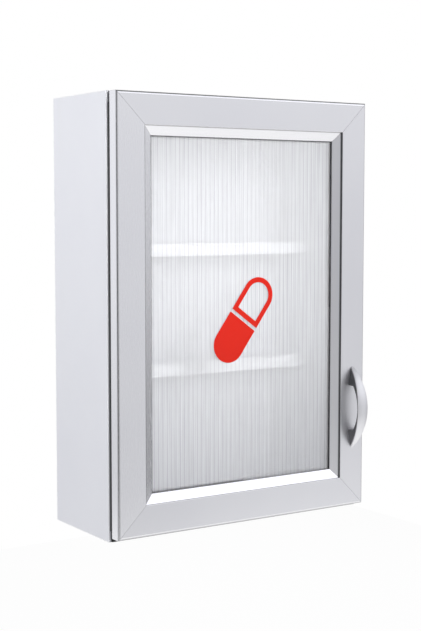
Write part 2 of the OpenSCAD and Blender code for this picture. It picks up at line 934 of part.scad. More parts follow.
module catch_screws() {
    color(steel_colour)
        at_catch_screws()
            pan_head_screw(catch_screw_d, catch_screw_l, catch_screw_head_d,
                           catch_screw_head_h);
}

module strike_plate() {
    color(steel_colour)
        difference() {
            translate([strike_x - catch_w / 2, door_back_y, catch_mid_z - strike_h / 2])
                cube([catch_w, strike_t, strike_h]);
            at_strike_screw()
                flat_head_hole(catch_screw_d, strike_screw_l, catch_screw_head_d);
        }
}

module strike_screw() {
    color(steel_colour)
        at_strike_screw() flat_head_screw(catch_screw_d, strike_screw_l, catch_screw_head_d);
}

// ---- Lock: axis along X through the right side board ----

module lock_barrel() {
    barrel_l = right_x - barrel_end_x;
    color(steel_colour)
        difference() {
            translate([barrel_end_x, lock_y, lock_axis_z])
                to_right() {
                    cylinder(d = barrel_d, h = barrel_l + collar_h);
                    translate([0, 0, barrel_l]) cylinder(d = collar_d, h = collar_h);
                }
            plug_solid(plug_play, over);
        }
}

// Turning plug; the barrel's bore is the same form, wider by play and longer by more
module plug_solid(play, more) {
    plug_l = collar_x - barrel_end_x + tongue_gap;
    translate([barrel_end_x - tongue_gap, lock_y, lock_axis_z])
        to_right() {
            cylinder(d = plug_d + 2 * play, h = plug_l + more);
            translate([0, 0, plug_l - plug_head_h - play])
                cylinder(d = plug_head_d + 2 * play, h = plug_head_h + play + more);
        }
}

module lock_plug() {
    color(steel_colour)
        difference() {
            union() {
                plug_solid(0, 0);
                translate([tongue_x, lock_y - plug_square / 2, lock_axis_z - plug_square / 2])
                    cube([tongue_t + tongue_gap, plug_square, plug_square]);
            }
            translate([collar_x - keyway_depth, lock_y - keyway_w / 2,
                       lock_axis_z - keyway_h / 2])
                cube([keyway_depth + over, keyway_w, keyway_h]);
            translate([tongue_x - over, lock_y, lock_axis_z])
                to_right() cylinder(d = tongue_screw_d + 2 * fit_play,
                                    h = tongue_screw_l + over);
        }
}

module lock_nut() {
    color(steel_colour)
        translate([nut_x, lock_y, lock_axis_z])
            to_right()
                difference() {
                    cylinder(r = nut_corner_r, h = nut_t, $fn = 6);
                    translate([0, 0, -over])
                        cylinder(d = barrel_d + 2 * fit_play, h = nut_t + 2 * over);
                }
}

// Tongue on the plug's square, pointing to the door while unlocked
module locking_tongue() {
    hub_d = plug_d;
    square_w = plug_square + 2 * fit_play;
    color(steel_colour)
        translate([tongue_x, lock_y, lock_axis_z])
            difference() {
                union() {
                    to_right() cylinder(d = hub_d, h = tongue_t);
                    translate([0, -tongue_reach, -tongue_w / 2])
                        cube([tongue_t, tongue_reach, tongue_w]);
                }
                translate([-over, -square_w / 2, -square_w / 2])
                    cube([tongue_t + 2 * over, square_w, square_w]);
            }
}

module tongue_screw() {
    color(steel_colour)
        translate([tongue_x, lock_y, lock_axis_z])
            to_left()
                pan_head_screw(tongue_screw_d, tongue_screw_l - fit_play,
                               tongue_screw_head_d, tongue_screw_head_h);
}

module lock_keeper() {
    arm_y = keeper_lip_y + keeper_t;
    color(steel_colour)
        difference() {
            translate([keeper_x, 0, 0]) to_right_section(keeper_w) polygon([
                [door_back_y, keeper_arm_z],
                [keeper_lip_y, keeper_arm_z],
                [keeper_lip_y, keeper_lip_z],
                [arm_y, keeper_lip_z],
                [arm_y, keeper_arm_z + keeper_t],
                [door_back_y + keeper_t, keeper_arm_z + keeper_t],
                [door_back_y + keeper_t, keeper_foot_top_z],
                [door_back_y, keeper_foot_top_z]
            ]);
            at_keeper_screws()
                translate([0, 0, -keeper_screw_l])
                    cylinder(d = keeper_screw_d + 2 * fit_play, h = keeper_screw_l + over);
        }
}

// Raises a section drawn as [y, z] along +X
module to_right_section(l) {
    rotate([90, 0, 90]) linear_extrude(l) children();
}

module keeper_screws() {
    color(steel_colour)
        at_keeper_screws()
            pan_head_screw(keeper_screw_d, keeper_screw_l, keeper_screw_head_d,
                           keeper_screw_head_h);
}

// ---- Door rails ----

module rail_outline() {
    polygon([
        [front_round, 0],
        [face_w - inner_round, 0],
        [face_w, inner_round],
        [face_w, step_d],
        [nose_meet_u, nose_meet_v],
        [rail_w, nose_v],
        [rail_w, nose_back_v],
        [groove_u, nose_back_v],
        [groove_u, back_lip_v],
        [groove_u + back_lip_w, back_lip_v],
        [groove_u + back_lip_w, door_t],
        [back_round, door_t],
        [0, door_t - back_round],
        [0, front_round]
    ]);
    translate([front_round, front_round]) circle(r = front_round);
    translate([back_round, door_t - back_round]) circle(r = back_round);
    translate([face_w - inner_round, inner_round]) circle(r = inner_round);
    translate([nose_u, nose_v]) circle(r = inner_round);
}

// Hollow of the rail, one wall inside its outline
module rail_chamber() {
    inner_u = face_w - rail_wall;
    tip_u = rail_w - 2 * rail_wall - over;
    tip_v = nose_back_v - rail_wall;
    polygon([
        [front_round, rail_wall],
        [inner_u, rail_wall],
        [inner_u, step_d + bevel_run - rail_wall * bevel_slope],
        [tip_u, step_d + bevel_run + (tip_u - face_w) * bevel_slope],
        [tip_u, tip_v],
        [chamber_u, tip_v],
        [chamber_u, back_lip_v],
        [back_round, back_lip_v],
        [rail_wall, door_t - back_round],
        [rail_wall, front_round]
    ]);
    translate([front_round, front_round]) circle(r = front_round - rail_wall);
    translate([back_round, door_t - back_round]) circle(r = back_round - rail_wall);
}

// A rail of length l along +Z, with its outer edge at x = 0 and its face at y = 0,
// mitred at both ends
module mitred_rail(l) {
    color(rail_colour)
        intersection() {
            linear_extrude(l)
                difference() {
                    rail_outline();
                    rail_chamber();
                }
            translate([0, door_t + over, 0])
                to_front()
                    linear_extrude(door_t + 2 * over)
                        polygon([[0, 0], [rail_w, rail_w], [rail_w, l - rail_w], [0, l]]);
        }
}

module hinge_stile() {
    difference() {
        translate([door_left_x, door_front_y, door_base_z]) mitred_rail(door_h);
        translate([hinge_x, hinge_y, hinge_base_z])
            mirror([0, 1, 0])
                at_hinge_screws()
                    flat_head_hole(hinge_screw_d, door_screw_l, hinge_screw_head_d);
    }
}

module handle_stile() {
    difference() {
        translate([door_right_x, door_front_y, door_base_z])
            mirror([1, 0, 0]) mitred_rail(door_h);
        at_handle_screws()
            translate([0, door_back_y + over, 0])
                to_front() cylinder(d = handle_screw_d + 2 * fit_play, h = door_t + 2 * over);
        at_keeper_screws()
            translate([0, 0, -keeper_screw_l - fit_play])
                cylinder(d = keeper_screw_d + 2 * fit_play, h = keeper_screw_l);
        at_strike_screw()
            flat_head_hole(catch_screw_d, strike_screw_l, catch_screw_head_d);
    }
}

module top_rail() {
    translate([door_left_x, door_front_y, door_top_z]) rotate([0, 90, 0]) mitred_rail(door_w);
}

module bottom_rail() {
    translate([door_right_x, door_front_y, door_base_z])
        rotate([0, -90, 0]) mitred_rail(door_w);
}

// Angle blocks that sit in the hollow of the rails at the mitres
module corner_blocks() {
    near = max(front_round, back_round);
    far = min(face_w, groove_u) - rail_wall - fit_play;
    depth = back_lip_v - rail_wall - 2 * fit_play;
    color(steel_colour)
        for (flip_x = [0, 1])
            for (flip_z = [0, 1])
                translate([door_mid_x, door_front_y + back_lip_v - fit_play, door_mid_z])
                    mirror([flip_x, 0, 0])
                        mirror([0, 0, flip_z])
                            translate([-door_w / 2, 0, -door_h / 2])
                                to_front()
                                    linear_extrude(depth)
                                        polygon([
                                            [near, near],
                                            [cleat_leg, near],
                                            [cleat_leg, far],
                                            [far, far],
                                            [far, cleat_leg],
                                            [near, cleat_leg]
                                        ]);
}

// ---- Ribbed sheet, its gasket and its sign ----

module door_slab(inset, front, depth) {
    translate([door_left_x + inset, front, door_base_z + inset])
        cube([door_w - 2 * inset, depth, door_h - 2 * inset]);
}

module sheet_gasket() {
    groove_front_y = door_front_y + nose_back_v;
    groove_t = back_lip_v - nose_back_v;
    color(black_colour)
        difference() {
            door_slab(groove_u, groove_front_y, groove_t);
            door_slab(sheet_inset, sheet_front_y, sheet_t);
            door_slab(rail_w - gasket_set_back, groove_front_y - over, groove_t + 2 * over);
        }
}

module ribbed_sheet() {
    color([0.90, 0.92, 0.95, 0.6])
        translate([door_mid_x, sheet_front_y, door_base_z + sheet_inset])
            linear_extrude(sheet_h)
                difference() {
                    translate([-sheet_w / 2, 0]) square([sheet_w, sheet_t]);
                    for (i = [0 : cell_count - 1])
                        translate([first_cell_x + i * rib_pitch, skin_t])
                            square([cell_w, sheet_t - 2 * skin_t]);
                }
}

module capsule_half(shrink) {
    r = mark_w / 2 - shrink;
    straight = mark_l / 2 - mark_w / 2;
    translate([0, straight]) circle(r = r);
    translate([-r, mark_split / 2 + shrink]) square([2 * r, straight - mark_split / 2 - shrink]);
}

module panel_mark() {
    color([0.88, 0.16, 0.13])
        translate([door_mid_x, sheet_front_y, door_base_z + mark_z])
            to_front()
                linear_extrude(mark_film)
                    rotate([0, 0, -mark_tilt]) {
                        rotate([0, 0, 180]) capsule_half(0);
                        difference() {
                            capsule_half(0);
                            capsule_half(mark_line);
                        }
                    }
}

// ---- Pull handle ----

// Outside of the grip: part of a wheel's rim, crowned across the handle's width
module handle_bow() {
    translate([0, handle_out_r - handle_reach, 0])
        rotate([0, 90, 0])
            rotate_extrude($fn = 180) {
                translate([0, -handle_w]) square([handle_out_r - handle_crown_r, 2 * handle_w]);
                intersection() {
                    translate([handle_out_r - handle_crown_r, 0]) circle(r = handle_crown_r);
                    translate([0, -handle_w]) square([handle_out_r + over, 2 * handle_w]);
                }
            }
}

// Front view of the handle: a leaf with blunt tips
module handle_front() {
    intersection_for(side = [-1, 1])
        translate([side * (leaf_r - handle_w / 2), 0]) circle(r = leaf_r, $fn = 180);
}

// Room for the fingers, drawn as [reach from the door, height]
module finger_arch() {
    translate([handle_w, 0, 0])
        rotate([90, 0, -90])
            linear_extrude(2 * handle_w)
                intersection() {
                    translate([grip_in - grip_in_r, 0]) circle(r = grip_in_r, $fn = 180);
                    translate([-over, -foot_gap / 2]) square([handle_reach, foot_gap]);
                }
}

module pull_handle() {
    bore_d = handle_screw_d + 2 * fit_play;
    color(steel_colour)
        difference() {
            translate([handle_x, door_front_y, handle_mid_z])
                difference() {
                    intersection() {
                        handle_bow();
                        to_front() linear_extrude(handle_reach + over) handle_front();
                    }
                    finger_arch();
                }
            at_handle_screws()
                translate([0, door_front_y + over, 0])
                    to_front() cylinder(d = bore_d, h = handle_screw_in + over + fit_play);
        }
}

module handle_screws() {
    color(steel_colour)
        at_handle_screws()
            translate([0, door_back_y, 0])
                to_back()
                    pan_head_screw(handle_screw_d, door_t + handle_screw_in,
                                   handle_screw_head_d, handle_screw_head_h);
}

left_side_board();
right_side_board();
top_board();
bottom_board();
back_board();
side_edge_bands();
end_edge_bands();
cross_edge_bands();
lower_shelf();
upper_shelf();
shelf_pins();
dowels();
connector_bolts();
eccentrics();
back_screws();
top_seal();
bottom_seal();
lock_side_seal();
hinge_carcass_leaf();
hinge_pin();
hinge_carcass_screws();
catch_housing();
catch_magnet();
catch_screws();
lock_barrel();
lock_nut();
lock_plug();
locking_tongue();
tongue_screw();
hinge_stile();
handle_stile();
top_rail();
bottom_rail();
corner_blocks();
sheet_gasket();
ribbed_sheet();
panel_mark();
pull_handle();
handle_screws();
hinge_door_leaf();
hinge_door_screws();
strike_plate();
strike_screw();
lock_keeper();
keeper_screws();
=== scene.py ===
import math

import bpy
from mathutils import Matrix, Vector


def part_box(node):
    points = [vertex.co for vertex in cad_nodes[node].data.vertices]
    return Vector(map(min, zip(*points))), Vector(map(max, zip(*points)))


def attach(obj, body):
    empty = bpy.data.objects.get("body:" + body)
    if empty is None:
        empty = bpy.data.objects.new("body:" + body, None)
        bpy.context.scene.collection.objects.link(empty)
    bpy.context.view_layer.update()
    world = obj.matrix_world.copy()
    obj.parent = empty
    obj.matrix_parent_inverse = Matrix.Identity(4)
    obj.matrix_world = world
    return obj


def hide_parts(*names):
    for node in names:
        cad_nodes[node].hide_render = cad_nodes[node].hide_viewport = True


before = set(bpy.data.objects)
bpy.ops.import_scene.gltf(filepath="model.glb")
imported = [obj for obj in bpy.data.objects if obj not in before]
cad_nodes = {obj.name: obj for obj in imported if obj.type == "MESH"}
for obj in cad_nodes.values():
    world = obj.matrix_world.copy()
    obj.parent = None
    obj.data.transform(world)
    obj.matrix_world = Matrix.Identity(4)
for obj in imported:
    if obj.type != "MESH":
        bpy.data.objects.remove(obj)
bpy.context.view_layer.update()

# ---------------------------------------------------------------- sizes, in metres
MM = 0.001
DOOR_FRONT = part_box("top_rail")[0][1]
DOOR_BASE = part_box("bottom_rail")[0][2]
DOOR_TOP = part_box("top_rail")[1][2]
DOOR_HALF_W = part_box("top_rail")[1][0]
DOOR_HALF_H = (DOOR_TOP - DOOR_BASE) / 2
DOOR_MID_Z = (DOOR_TOP + DOOR_BASE) / 2
CARCASS_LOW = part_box("side_edge_bands")[0]
CARCASS_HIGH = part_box("end_edge_bands")[1]
SHELF_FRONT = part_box("upper_shelf")[0][1]
sheet_low, sheet_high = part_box("ribbed_sheet")
SHEET_FRONT, SHEET_BACK = sheet_low[1], sheet_high[1]
SHEET_LOW, SHEET_HIGH = sheet_low[2], sheet_high[2]
SHEET_MID_Z = (SHEET_LOW + SHEET_HIGH) / 2
# the rails' section: its flat face, the step beside it and the nose that holds the sheet
FACE_WIDTH, STEP_DEPTH, NOSE_TIP = 0.036, 0.0018, 0.047
# the pull handle's bow, from the middle of its height
PULL_MID_Z, PULL_REACH, PULL_RADIUS = -0.1223, 0.0224, 0.06812
RIB_PITCH, RIB_COUNT = 0.0058, 46
RIB_THICK, SKIN_THICK, RIB_END_GAP = 0.4 * MM, 0.5 * MM, 1.0 * MM
# each cell of the sheet in steps, and how far its skins are drawn in at some of them
CELL_STEPS = 4
SKIN_DIPS = ((0, 0.09 * MM), (1, 0.02 * MM), (3, 0.02 * MM))
# the skins' ripple is shaded smooth where it turns less than this
RIPPLE_ANGLE = math.radians(40)
# a copied CAD mesh has its points merged within this, and its flat faces joined
MERGE_WITHIN, FLAT_ANGLE = 0.5e-6, math.radians(0.4)
# edges that turn more than this are broken and shaded as edges
SHARP_ANGLE = math.radians(32)
# pieces with wider rounds than this, in mm, get one more facet in them
WIDE_ROUND = 0.3

# drawn marks: the dark mitre line and each painted shade line: how dark each is, then the
# distances in mm where it starts and ends to fade
MITRE_LINE = (0.3, 0.15, 0.6)
UPRIGHT_STEP_SHADE = (0.9, 0.9, 2.0)
TOP_STEP_SHADE = (0.5, 0.5, 1.3)
OUTER_EDGE_SHADE = (0.42, 1.6, 2.4)
# the worn edges of the boards in the same form, and the pointiness where a corner starts to
# show wear and shows it in full
WORN_EDGE = (1.0, 0.25, 1.2)
POINTED_START, POINTED_FULL = 0.51, 0.58
# the painted shade line on the nose: its strength on uprights and across, its width, and how deep
# it starts
NOSE_SHADE_UPRIGHT, NOSE_SHADE_ACROSS = 0.95, 0.45
NOSE_SHADE_WIDTH, NOSE_SHADE_DEPTH = 0.25 * MM, 7.1 * MM
# the handle's flanks: how much painted shade they take, and the distances behind its front where
# that starts and is full
FLANK_SHADE, FLANK_START, FLANK_FULL = 0.86, 1.5 * MM, 2.6 * MM
SHELF_BAND = 0.6 * MM
# the line at a rib, as shares of the ribs' pitch
RIB_LINE_START, RIB_LINE_END = 0.035, 0.085
# the painted shadow along the sheet's border: how much at the left, at the bottom and more at the
# top, its width, and how much wider it is at the left
BORDER_LEFT, BORDER_LOW, BORDER_MORE_ABOVE = 0.55, 0.25, 0.3
BORDER_LINE = (1.0, 0.5, 1.7)
BORDER_WIDER_LEFT = 2.0 * MM


def srgb(red, green, blue):
    """A colour given as 0 to 255, as the linear values that a material takes."""
    return tuple(
        (c / 255 / 12.92) if c / 255 <= 0.04045 else ((c / 255 + 0.055) / 1.055) ** 2.4
        for c in (red, green, blue)
    ) + (1.0,)


# the colour of the dark mitre joints and of the painted shade on the rails and the handle
JOINT_AND_SHADE_LINE = srgb(78, 78, 82)
# the sheet's plastic: the colour of the painted shadow along its border, and the tints of sight
# and of light that pass it
BORDER_SHADOW_TONE = srgb(96, 96, 100)
CLEAR_TONE = (0.985, 0.988, 0.99, 1)
PASSING_TONE = (0.98, 0.982, 0.985, 1)
# how much of its milk throws light back, how far milk and gloss vary, and how fine its streaks are
HAZE_SHARE = 0.9
MILK_VARIES, GLOSS_VARIES, STREAKS = 0.04, 0.08, 700


# ---------------------------------------------------------------- modelling helpers
def deselect_all():
    """Leaves edit mode and selects nothing."""
    if bpy.context.object and bpy.context.object.mode != "OBJECT":
        bpy.ops.object.mode_set(mode="OBJECT")
    bpy.ops.object.select_all(action="DESELECT")


def make_active(piece):
    """Selects this piece alone, for the operators that follow."""
    deselect_all()
    piece.select_set(True)
    bpy.context.view_layer.objects.active = piece


def copy_of_node(node, name):
    """The CAD solid's surface as a mesh of its own, merged and with its flat faces whole."""
    piece = bpy.data.objects.new(name, cad_nodes[node].data.copy())
    bpy.context.scene.collection.objects.link(piece)
    piece.data.materials.clear()
    make_active(piece)
    if piece.data.has_custom_normals:
        bpy.ops.mesh.customdata_custom_splitnormals_clear()
    bpy.ops.object.mode_set(mode="EDIT")
    bpy.ops.mesh.select_all(action="SELECT")
    bpy.ops.mesh.remove_doubles(threshold=MERGE_WITHIN)
    bpy.ops.mesh.dissolve_limited(angle_limit=FLAT_ANGLE)
    bpy.ops.object.mode_set(mode="OBJECT")
    return piece


def soften_edges(piece, width, segments):
    """Breaks the sharp edges, as handling and finishing do, and keeps the flat faces flat."""
    make_active(piece)
    bevel = piece.modifiers.new("soft edges", "BEVEL")
    bevel.width = width
    bevel.segments = segments
    bevel.limit_method = "ANGLE"
    bevel.angle_limit = SHARP_ANGLE
    bevel.use_clamp_overlap = True
    bpy.ops.object.modifier_apply(modifier=bevel.name)
    bpy.ops.object.shade_smooth_by_angle(angle=SHARP_ANGLE)
    weighted = piece.modifiers.new("flat faces", "WEIGHTED_NORMAL")
    weighted.mode = "FACE_AREA"
    weighted.weight = 100
    weighted.thresh = 0.0
    weighted.keep_sharp = True
    bpy.ops.object.modifier_apply(modifier=weighted.name)


def put_on(piece, body, slot, material, *stands_for):
    """Gives a piece its finish and its body, and hides the nodes it stands for; the slot is not
    used.
    """
    piece.data.materials.clear()
    piece.data.materials.append(material)
    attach(piece, body)
    if stands_for:
        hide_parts(*stands_for)


# ---------------------------------------------------------------- material helpers
def empty_material(name):
    """A material with nothing but its output, and that output's surface socket."""
    material = bpy.data.materials.new(name)
    material.use_nodes = True
    tree = material.node_tree
    tree.nodes.clear()
    return material, tree, node_of(tree, "ShaderNodeOutputMaterial").inputs["Surface"]


def node_of(tree, kind, **values):
    """A new node with the settings given."""
    node = tree.nodes.new(kind)
    for key, value in values.items():
        setattr(node, key, value)
    return node


def feed(tree, socket, value):
    """Sets a socket to a value, or links another node's socket to it."""
    if isinstance(value, bpy.types.NodeSocket):
        tree.links.new(value, socket)
    else:
        socket.default_value = value


def calc(tree, operation, *values):
    """A maths node on numbers or sockets, and its result."""
    node = node_of(tree, "ShaderNodeMath", operation=operation)
    for place, value in enumerate(values):
        feed(tree, node.inputs[place], value)
    return node.outputs[0]


def object_coords(tree, stretch=(1, 1, 1)):
    """The place on the part, stretched along its axes where a grain runs one way."""
    where = node_of(tree, "ShaderNodeTexCoord")
    mapping = node_of(tree, "ShaderNodeMapping")
    mapping.inputs["Scale"].default_value = stretch
    tree.links.new(where.outputs["Object"], mapping.inputs["Vector"])
    return mapping.outputs["Vector"]


def object_axes(tree):
    """The place on the part as three numbers in metres."""
    where = node_of(tree, "ShaderNodeTexCoord")
    split = node_of(tree, "ShaderNodeSeparateXYZ")
    tree.links.new(where.outputs["Object"], split.inputs[0])
    return split.outputs["X"], split.outputs["Y"], split.outputs["Z"]


def noise(tree, vector, scale, detail, rough=0.55):
    """Soft random values from 0 to 1, mostly near the middle."""
    tex = node_of(tree, "ShaderNodeTexNoise")
    tex.inputs["Scale"].default_value = scale
    tex.inputs["Detail"].default_value = detail
    tex.inputs["Roughness"].default_value = rough
    tree.links.new(vector, tex.inputs["Vector"])
    return tex.outputs["Fac"]


def spread(tree, value, low, high, from_low=0.3, from_high=0.7):
    """A value brought from one range to another, and held within it."""
    ranged = node_of(tree, "ShaderNodeMapRange")
    ranged.inputs["From Min"].default_value = from_low
    ranged.inputs["From Max"].default_value = from_high
    ranged.inputs["To Min"].default_value = low
    ranged.inputs["To Max"].default_value = high
    tree.links.new(value, ranged.inputs["Value"])
    return ranged.outputs["Result"]


def fade(tree, distance, strength, start, end):
    """The strength up to the distance start, and 0 from end on, both in mm."""
    return spread(tree, distance, strength, 0.0, start * MM, end * MM)


def blend_colours(tree, factor, first, second):
    """The first colour where the factor is 0, and the second where it is 1."""
    mix = node_of(tree, "ShaderNodeMix", data_type="RGBA")
    tree.links.new(factor, mix.inputs["Factor"])
    for socket, value in (("A", first), ("B", second)):
        feed(tree, next(s for s in mix.inputs if s.name == socket and s.type == "RGBA"), value)
    return next(s for s in mix.outputs if s.type == "RGBA")


def plain_shader(tree, kind, colour):
    """A shader node of one colour, given as numbers or as a socket."""
    shader = node_of(tree, kind)
    feed(tree, shader.inputs["Color"], colour)
    return shader.outputs[0]


def mix_shaders(tree, share, first, second):
    """The first shader where the share is 0, and the second where it is 1."""
    mix = node_of(tree, "ShaderNodeMixShader")
    for socket, value in zip(mix.inputs, (share, first, second)):
        feed(tree, socket, value)
    return mix.outputs[0]


def add_relief(tree, shader, height, strength, distance):
    """Fine relief on a finish, up to a distance in mm, which leaves the piece's form as it is."""
    bump = node_of(tree, "ShaderNodeBump")
    bump.inputs["Strength"].default_value = strength
    bump.inputs["Distance"].default_value = distance * MM
    tree.links.new(height, bump.inputs["Height"])
    tree.links.new(bump.outputs["Normal"], shader.inputs["Normal"])


# ---------------------------------------------------------------- wear and drawn lines
def worn_corners(tree):
    """1 on the outer corners of a small piece."""
    geometry = node_of(tree, "ShaderNodeNewGeometry")
    return spread(tree, geometry.outputs["Pointiness"], 0.0, 1.0, POINTED_START, POINTED_FULL)


def carcass_edges(tree):
    """1 along the outer edges of the carcass, fading out on the boards' flat faces."""
    gaps = []
    for value, low, high in zip(object_axes(tree), CARCASS_LOW, CARCASS_HIGH):
        away = calc(tree, "ABSOLUTE", calc(tree, "SUBTRACT", value, (low + high) / 2))
        gaps.append(calc(tree, "SUBTRACT", (high - low) / 2, away))
    least = calc(tree, "MINIMUM", gaps[0], gaps[1])
    most = calc(tree, "MAXIMUM", gaps[0], gaps[1])
    second = calc(tree, "MAXIMUM", least, calc(tree, "MINIMUM", most, gaps[2]))
    return fade(tree, second, *WORN_EDGE)


def rail_joints_and_painted_shade(tree, across):
    """Where a rail is darker: a dark line in its mitre joints, and painted shade in the corner of
    its step (across, at the top only), at its nose and along the outer edge of the top and bottom
    rails.
    """
    x, y, z = object_axes(tree)
    height = calc(tree, "SUBTRACT", z, DOOR_MID_Z)
    from_side = calc(tree, "SUBTRACT", DOOR_HALF_W, calc(tree, "ABSOLUTE", x))
    from_end = calc(tree, "SUBTRACT", DOOR_HALF_H, calc(tree, "ABSOLUTE", height))
    gap = calc(tree, "ABSOLUTE", calc(tree, "SUBTRACT", from_side, from_end))
    mitre = fade(tree, gap, *MITRE_LINE)
    inset = from_end if across else from_side
    depth = calc(tree, "SUBTRACT", y, DOOR_FRONT)
    over = calc(tree, "SUBTRACT", inset, FACE_WIDTH)
    under = calc(tree, "SUBTRACT", depth, STEP_DEPTH)
    away = calc(tree, "SQRT", calc(tree, "ADD", calc(tree, "MULTIPLY", over, over),
                                   calc(tree, "MULTIPLY", under, under)))
    # painted shade in the top rail's step corner, and along the outer edge of both across rails
    if across:
        at_top = calc(tree, "GREATER_THAN", height, 0.0)
        step = calc(tree, "MULTIPLY", fade(tree, away, *TOP_STEP_SHADE), at_top)
        step = calc(tree, "MAXIMUM", step, fade(tree, inset, *OUTER_EDGE_SHADE))
    else:
        step = fade(tree, away, *UPRIGHT_STEP_SHADE)
    # painted shade along the nose, beside the sheet
    nose = calc(tree, "MULTIPLY", calc(tree, "GREATER_THAN", inset, NOSE_TIP - NOSE_SHADE_WIDTH),
                calc(tree, "GREATER_THAN", depth, NOSE_SHADE_DEPTH))
    nose = calc(tree, "MULTIPLY", nose, NOSE_SHADE_ACROSS if across else NOSE_SHADE_UPRIGHT)
    return calc(tree, "MAXIMUM", mitre, calc(tree, "MAXIMUM", step, nose))


def upright_joints_and_painted_shade(tree):
    """The dark mitre line and the painted shade of the hinge stile and the handle stile."""
    return rail_joints_and_painted_shade(tree, across=False)


def cross_joints_and_painted_shade(tree):
    """The dark mitre line and the painted shade of the top and bottom rails."""
    return rail_joints_and_painted_shade(tree, across=True)


def pull_flank_painted_shade(tree):
    """Painted shade on the handle: on its flanks and inside its arch, behind the crowned front."""
    x, y, z = object_axes(tree)
    height = calc(tree, "SUBTRACT", z, PULL_MID_Z)
    rise = calc(tree, "SQRT", calc(tree, "SUBTRACT", PULL_RADIUS ** 2,
                                   calc(tree, "MULTIPLY", height, height)))
    front = calc(tree, "SUBTRACT", DOOR_FRONT + PULL_RADIUS - PULL_REACH, rise)
    behind = calc(tree, "SUBTRACT", y, front)
    return spread(tree, behind, 0.0, FLANK_SHADE, FLANK_START, FLANK_FULL)


def shelf_front(tree):
    """1 on the white band along a shelf's front edge."""
    x, y, z = object_axes(tree)
    return calc(tree, "LESS_THAN", y, SHELF_FRONT + SHELF_BAND)


def rib_lines(tree):
    """1 on a narrow upright line at each rib of the front skin, and 0 between them."""
    x, y, z = object_axes(tree)
    from_rib = calc(tree, "PINGPONG", calc(tree, "DIVIDE", x, RIB_PITCH), 0.5)
    line = spread(tree, from_rib, 1.0, 0.0, RIB_LINE_START, RIB_LINE_END)
    front = calc(tree, "LESS_THAN", y, (SHEET_FRONT + SHEET_BACK) / 2)
    return calc(tree, "MULTIPLY", line, front)


def border_shade(tree):
    """Painted shadow on the sheet along the rails' noses, most beside the hinge and at the top."""
    x, y, z = object_axes(tree)
    left = calc(tree, "LESS_THAN", x, 0.0)
    height = calc(tree, "SUBTRACT", z, DOOR_MID_Z)
    upper = calc(tree, "GREATER_THAN", height, 0.0)
    from_side = calc(tree, "SUBTRACT", DOOR_HALF_W - NOSE_TIP, calc(tree, "ABSOLUTE", x))
    from_side = calc(tree, "SUBTRACT", from_side, calc(tree, "MULTIPLY", left, BORDER_WIDER_LEFT))
    from_end = calc(tree, "SUBTRACT", DOOR_HALF_H - NOSE_TIP, calc(tree, "ABSOLUTE", height))
    near = calc(tree, "MINIMUM", from_side, from_end)
    above = calc(tree, "MULTIPLY", upper, BORDER_MORE_ABOVE)
    amount = calc(tree, "MAXIMUM", calc(tree, "MULTIPLY", left, BORDER_LEFT),
                  calc(tree, "ADD", BORDER_LOW, above))
    return calc(tree, "MULTIPLY", amount, fade(tree, near, *BORDER_LINE))


# ---------------------------------------------------------------- finishes in general
def surface(name, colour, darker, roughness, grain, relief, metallic=0.0, stretch=(1, 1, 1),
            specular=None, edge=None, edge_place=worn_corners, blotch_scale=9.0,
            lines_and_painted_shade=None, line_and_shade_colour=JOINT_AND_SHADE_LINE):
    """A finish whose colour varies slowly, with a fine grain in its gloss and its relief.

    The relief is a strength and a height in mm. An edge is a colour and its share, put where
    edge_place says, and the drawn marks (dark joints, bands and painted shade) go over both.
    """
    material = bpy.data.materials.new(name)
    material.use_nodes = True
    tree = material.node_tree
    shader = tree.nodes["Principled BSDF"]
    blotches = noise(tree, object_coords(tree), blotch_scale, 3.0)
    fine = noise(tree, object_coords(tree, stretch), grain, 5.0, 0.6)
    tone = blend_colours(tree, spread(tree, blotches, 0.0, 1.0), colour, darker)
    tone = blend_colours(tree, spread(tree, fine, 0.0, 0.5), tone, darker)
    if edge:
        edge_colour, edge_share = edge
        worn = calc(tree, "MULTIPLY", edge_place(tree), edge_share)
        tone = blend_colours(tree, worn, tone, edge_colour)
    if lines_and_painted_shade:
        tone = blend_colours(tree, lines_and_painted_shade(tree), tone, line_and_shade_colour)
    tree.links.new(tone, shader.inputs["Base Color"])
    tree.links.new(spread(tree, fine, *roughness), shader.inputs["Roughness"])
    shader.inputs["Metallic"].default_value = metallic
    if specular is not None:
        shader.inputs["Specular IOR Level"].default_value = specular
    add_relief(tree, shader, fine, *relief)
    return material


def sheet_tone(tree, between, at_rib):
    """A colour of the sheet between its ribs and at them, under the painted shadow along its
    border.
    """
    lined = blend_colours(tree, rib_lines(tree), between, at_rib)
    return blend_colours(tree, border_shade(tree), lined, BORDER_SHADOW_TONE)


